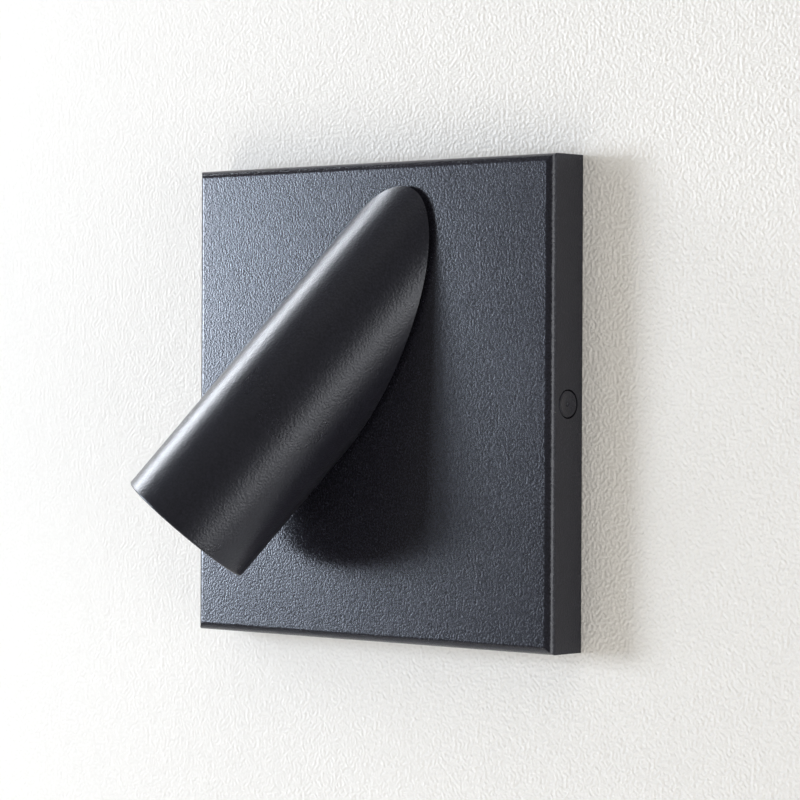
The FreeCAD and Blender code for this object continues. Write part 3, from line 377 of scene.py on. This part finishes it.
def circuit_board():
    """Green resist with paler tracks in a grid, and a fine fibre weave below."""
    material, tree, shader = new_material("circuit_board")
    here = object_coordinates(tree)
    flat = tree.nodes.new("ShaderNodeCombineXYZ")
    tree.links.new(along(tree, here, (1, 1, 0)), flat.inputs["X"])
    tree.links.new(along(tree, here, (0, 0, 1)), flat.inputs["Y"])
    tracks = tree.nodes.new("ShaderNodeTexBrick")
    tree.links.new(flat.outputs["Vector"], tracks.inputs["Vector"])
    tracks.inputs["Scale"].default_value = TRACK_GRID
    tracks.inputs["Mortar Size"].default_value = TRACK_WIDTH
    tracks.inputs["Mortar Smooth"].default_value = TRACK_SOFTNESS
    tracks.inputs["Color1"].default_value = (*RESIST, 1)
    tracks.inputs["Color2"].default_value = (*RESIST_LIGHT, 1)
    tracks.inputs["Mortar"].default_value = (*TRACK, 1)
    fibre = noise(tree, stretched(tree, here, (1, 1, 0.2)), FIBRE_WEAVE)
    tone = spread(tree, fibre, 0.3, 0.7, 0.0, 0.25)
    colour = between_colours(tree, tone, tracks.outputs["Color"], FIBRE)
    tree.links.new(colour, shader.inputs["Base Color"])
    tree.links.new(spread(tree, fibre, 0.3, 0.7, 0.28, 0.42), shader.inputs["Roughness"])
    tree.links.new(bump(tree, tracks.outputs["Fac"], TRACK_DEPTH), shader.inputs["Normal"])
    return material


def clear(name, tint, roughness, relief):
    """Clear glass or plastic with a faint haze of smears; relief is the depth of its moulded ripple."""
    material, tree, shader = new_material(name)
    here = object_coordinates(tree)
    smears = noise(tree, stretched(tree, here, (1, 1, 0.3)), SMEARS, detail=4.0)
    colour = between_colours(tree, spread(tree, smears, 0.3, 0.7), tint, shade(tint, 0.96))
    tree.links.new(colour, shader.inputs["Base Color"])
    dull = spread(tree, smears, 0.4, 0.8, roughness, roughness + 0.06)
    tree.links.new(dull, shader.inputs["Roughness"])
    ripple = noise(tree, here, RIPPLE, detail=1.0)
    tree.links.new(bump(tree, ripple, relief), shader.inputs["Normal"])
    shader.inputs["Transmission Weight"].default_value = 1.0
    shader.inputs["IOR"].default_value = CLEAR_IOR
    return material


# ---- wall and floor ----

WALL_GAP = 0.0001
WALL_REACH = 2.0
WALL_OPENING = 0.058
WALL_GLOW = 0.075
WALL_GLOW_COLOUR = (1.0, 0.96, 0.89)
WALL_DARK = (0.88, 0.86, 0.82)
WALL_LIGHT = (0.92, 0.90, 0.86)
WALL_ROUGHNESS = 0.75
STIPPLE = 1200
STIPPLE_DEPTH = 0.0004
WAVES = 250
WAVE_SHARE = 0.3
SMOOTH_LEFT = -0.15
SMOOTH_RIGHT = 0.06
SMOOTH_LEAST = 0.25
FLOOR_LEVEL = -1.3
FLOOR_REACH = 3.0
FLOOR_DARK = (0.78, 0.77, 0.75)
FLOOR_LIGHT = (0.83, 0.82, 0.80)
FLOOR_CLOUDS = 3
FLOOR_ROUGHNESS = 0.6


def seen_directly(tree):
    """1 for rays of the camera, of glossy reflections and through glass, and 0 for diffuse light."""
    path = tree.nodes.new("ShaderNodeLightPath")
    seen = combine(tree, "ADD", path.outputs["Is Camera Ray"], path.outputs["Is Glossy Ray"])
    return combine(tree, "ADD", seen, path.outputs["Is Transmission Ray"])


def wall_paint():
    """White paint with a rolled stipple that is smoother at the left; from behind it is clear."""
    material, tree, shader = new_material("wall_paint")
    here = object_coordinates(tree)
    stipple = noise(tree, here, STIPPLE, detail=0.6, roughness=0.4)
    waves = noise(tree, here, WAVES, detail=0.0)
    height = combine(tree, "ADD", stipple, combine(tree, "MULTIPLY", waves, WAVE_SHARE))
    rightward = along(tree, here, (1, 0, 0))
    strength = spread(tree, rightward, SMOOTH_LEFT, SMOOTH_RIGHT, SMOOTH_LEAST, 1.0)
    relief = combine(tree, "MULTIPLY", height, strength)
    tone = spread(tree, stipple, 0.3, 0.7)
    colour = between_colours(tree, tone, WALL_DARK, WALL_LIGHT)
    tree.links.new(colour, shader.inputs["Base Color"])
    tree.links.new(bump(tree, relief, STIPPLE_DEPTH), shader.inputs["Normal"])
    shader.inputs["Roughness"].default_value = WALL_ROUGHNESS
    shader.inputs["Emission Color"].default_value = (*WALL_GLOW_COLOUR, 1)
    glow = combine(tree, "MULTIPLY", seen_directly(tree), WALL_GLOW)
    tree.links.new(glow, shader.inputs["Emission Strength"])
    see_through = tree.nodes.new("ShaderNodeBsdfTransparent")
    side = tree.nodes.new("ShaderNodeNewGeometry")
    mixed = tree.nodes.new("ShaderNodeMixShader")
    output = next(node for node in tree.nodes if node.type == "OUTPUT_MATERIAL")
    tree.links.new(side.outputs["Backfacing"], mixed.inputs["Fac"])
    tree.links.new(shader.outputs["BSDF"], mixed.inputs[1])
    tree.links.new(see_through.outputs["BSDF"], mixed.inputs[2])
    tree.links.new(mixed.outputs["Shader"], output.inputs["Surface"])
    return material


def floor_paint():
    material, tree, shader = new_material("floor_paint")
    here = object_coordinates(tree)
    tone = spread(tree, noise(tree, here, FLOOR_CLOUDS, detail=4.0), 0.3, 0.7)
    colour = between_colours(tree, tone, FLOOR_DARK, FLOOR_LIGHT)
    tree.links.new(colour, shader.inputs["Base Color"])
    shader.inputs["Roughness"].default_value = FLOOR_ROUGHNESS
    return material


def flat_mesh(name, points, faces, material):
    mesh = bpy.data.meshes.new(name)
    mesh.from_pydata(points, [], faces)
    mesh.materials.append(material)
    piece = bpy.data.objects.new(name, mesh)
    bpy.context.scene.collection.objects.link(piece)
    return piece


def make_wall():
    """Wall with an opening hidden behind the plate, so that light reaches the plate's back too."""
    outer = [(-1, -1), (1, -1), (1, 1), (-1, 1)]
    points = [(x * size, WALL_GAP, z * size) for size in (WALL_REACH, WALL_OPENING) for x, z in outer]
    points = [(x, y, max(z, FLOOR_LEVEL)) for x, y, z in points]
    faces = [(n, (n + 1) % 4, 4 + (n + 1) % 4, 4 + n) for n in range(4)]
    flat_mesh("wall", points, faces, wall_paint())


def make_floor():
    reach = FLOOR_REACH
    points = [(-reach, -reach, FLOOR_LEVEL), (reach, -reach, FLOOR_LEVEL),
              (reach, reach, FLOOR_LEVEL), (-reach, reach, FLOOR_LEVEL)]
    flat_mesh("floor", points, [(0, 1, 2, 3)], floor_paint())


# ---- light: sizes in metres, angles in degrees, powers in watts ----

WINDOW_TURN = 59.5
WINDOW_RISE = 2
WINDOW_DISTANCE = 1.5
# Each layer's width, height and power, from the nearest to the farthest.
WINDOW_LAYERS = ((0.30, 0.38, 6.6), (0.50, 0.50, 8.4), (0.75, 0.62, 5.0))
LAYER_GAP = 0.01
SKY = (0.82, 0.89, 1.0)
PALE_SKY = (0.93, 0.96, 1.0)
OFF_WHITE = (1.0, 0.97, 0.93)
CREAM = (1.0, 0.95, 0.86)
PALE_WOOD = (1.0, 0.90, 0.76)
WHITE = (1.0, 1.0, 1.0)
WORLD_COLOUR = (1.0, 0.98, 0.95)
WORLD_STRENGTH = 0.20


def area_light(name, place, size, power, colour):
    """Rectangular lamp turned toward the model's origin."""
    data = bpy.data.lights.new(name, "AREA")
    data.shape = "RECTANGLE"
    data.size, data.size_y = size
    data.energy = power
    data.color = colour
    lamp = bpy.data.objects.new(name, data)
    lamp.location = place
    lamp.rotation_euler = (-Vector(place)).to_track_quat("-Z", "Y").to_euler()
    bpy.context.scene.collection.objects.link(lamp)


def towards(turn, rise, distance):
    """Place in front of the wall, turned left of its normal and raised, in degrees."""
    turn, rise = math.radians(turn), math.radians(rise)
    return Vector((-math.sin(turn) * math.cos(rise), -math.cos(turn) * math.cos(rise),
                   math.sin(rise))) * distance


def make_lights():
    """Window at the left, brightest in its middle, a strip beside it, soft bounces, and a lamp behind."""
    for number, (width, height, power) in enumerate(WINDOW_LAYERS):
        place = towards(WINDOW_TURN, WINDOW_RISE, WINDOW_DISTANCE + LAYER_GAP * number)
        area_light(f"window_{number}", place, (width, height), power, SKY)
    area_light("strip", towards(86, 25, 2.0), size=(0.45, 0.9), power=34, colour=PALE_SKY)
    area_light("right_bounce", towards(-77, -10, 1.3), size=(0.6, 1.0), power=7.5, colour=OFF_WHITE)
    area_light("ceiling_bounce", (0.4, -1.0, 1.7), size=(1.6, 1.6), power=6, colour=CREAM)
    area_light("floor_bounce", (-0.4, -1.0, -1.1), size=(1.2, 1.2), power=3.5, colour=PALE_WOOD)
    area_light("behind", (0.3, 1.6, 0.8), size=(1.2, 1.2), power=12, colour=WHITE)


def make_world():
    world = bpy.data.worlds.new("world")
    world.use_nodes = True
    ground = world.node_tree.nodes["Background"]
    ground.inputs["Color"].default_value = (*WORLD_COLOUR, 1)
    ground.inputs["Strength"].default_value = WORLD_STRENGTH
    bpy.context.scene.world = world


# ---- dressing the pieces ----

def paint(material, *names):
    for name in names:
        mesh = nodes[name].data
        mesh.materials.clear()
        mesh.materials.append(material)


def paint_outside():
    paint(powder_coat("plate_coat", 0.175, 1.0), "cover_plate", "push_button")
    paint(powder_coat("head_coat", 0.28, 1.4), "head_shell")
    paint(metal("black_anodised", (0.030, 0.030, 0.033), 0.38, turned_with_tube), "bezel_ring")
    paint(clear("clear_glass", (0.97, 0.985, 0.98), 0.01, 0.000004), "front_glass")


def paint_metals():
    zinc = metal("zinc_plate", (0.62, 0.63, 0.62), 0.36, spangled, 0.000004)
    paint(zinc, "mounting_bracket", "earth_screw", "earth_washer", "driver_screws", "carrier_screws",
          "spindle_screws", "led_screws", "terminal_screws", "stop_washer", "swivel_nut")
    paint(metal("black_oxide", (0.050, 0.050, 0.052), 0.42, blackened), "cover_screws")
    paint(metal("spring_steel", (0.55, 0.56, 0.57), 0.27, drawn),
          "disc_spring", "button_spring", "stop_pin")
    paint(metal("turned_steel", (0.60, 0.60, 0.60), 0.24, turned_with_plate), "swivel_spindle")
    paint(metal("turned_brass", (0.72, 0.53, 0.24), 0.28, drawn), "terminal_tubes")
    paint(metal("milled_aluminium", (0.72, 0.73, 0.74), 0.33, milled_with_tube), "heat_sink")


def paint_mouldings():
    paint(moulded("black_rubber", (0.020, 0.020, 0.020), 0.72, 1800, 0.00001, 0.2, sheen=0.15),
          "cable_bush", "glass_seal")
    paint(moulded("black_nylon", (0.035, 0.035, 0.037), 0.50), "swivel_bush", "switch_carrier",
          "friction_washer")
    paint(moulded("white_plastic", (0.80, 0.80, 0.77), 0.42, contrast=0.04), "terminal_block",
          "driver_case", "driver_lid", "driver_connectors")
    paint(moulded("lens_holder_plastic", (0.028, 0.028, 0.030), 0.46), "lens_holder")
    paint(moulded("moulded_epoxy", (0.025, 0.025, 0.026), 0.60, 4000, 0.000008), "driver_chip",
          "driver_inductor", "switch_body")
    paint(moulded("cream_acetal", (0.74, 0.71, 0.63), 0.30, contrast=0.04), "switch_plunger")
    paint(moulded("thermal_rubber", (0.42, 0.47, 0.54), 0.65, 1500, 0.00001), "thermal_pad")
    paint(moulded("white_resist", (0.84, 0.84, 0.82), 0.35, 3500, 0.000004, 0.03), "led_board")
    paint(moulded("brown_sheath", (0.16, 0.070, 0.030), 0.45), "mains_leads")
    paint(moulded("white_sheath", (0.70, 0.70, 0.67), 0.45, contrast=0.04), "switch_leads",
          "driver_cable", "head_cable")


def paint_components():
    paint(circuit_board(), "driver_board", "switch_board")
    paint(two_tone("ferrite_and_tape", (0.060, 0.058, 0.056), (0.72, 0.50, 0.09), beyond_core, 0.5),
          "driver_transformer")
    paint(two_tone("sleeve_and_can", (0.035, 0.045, 0.11), (0.70, 0.71, 0.72), can_end, 0.35,
                   metallic=True), "driver_capacitors")
    paint(two_tone("carrier_and_phosphor", (0.78, 0.78, 0.74), (0.86, 0.66, 0.10), light_spot, 0.35),
          "led_chip")
    paint(two_tone("earth_sheath", (0.030, 0.25, 0.050), (0.75, 0.62, 0.05), lead_stripe, 0.45),
          "earth_lead")
    paint(clear("clear_acrylic", (0.98, 0.98, 0.985), 0.03, 0.000015), "lens")


make_camera()
make_world()
make_lights()
make_wall()
make_floor()
paint_outside()
paint_metals()
paint_mouldings()
paint_components()

bpy.context.scene.view_settings.view_transform = "Standard"
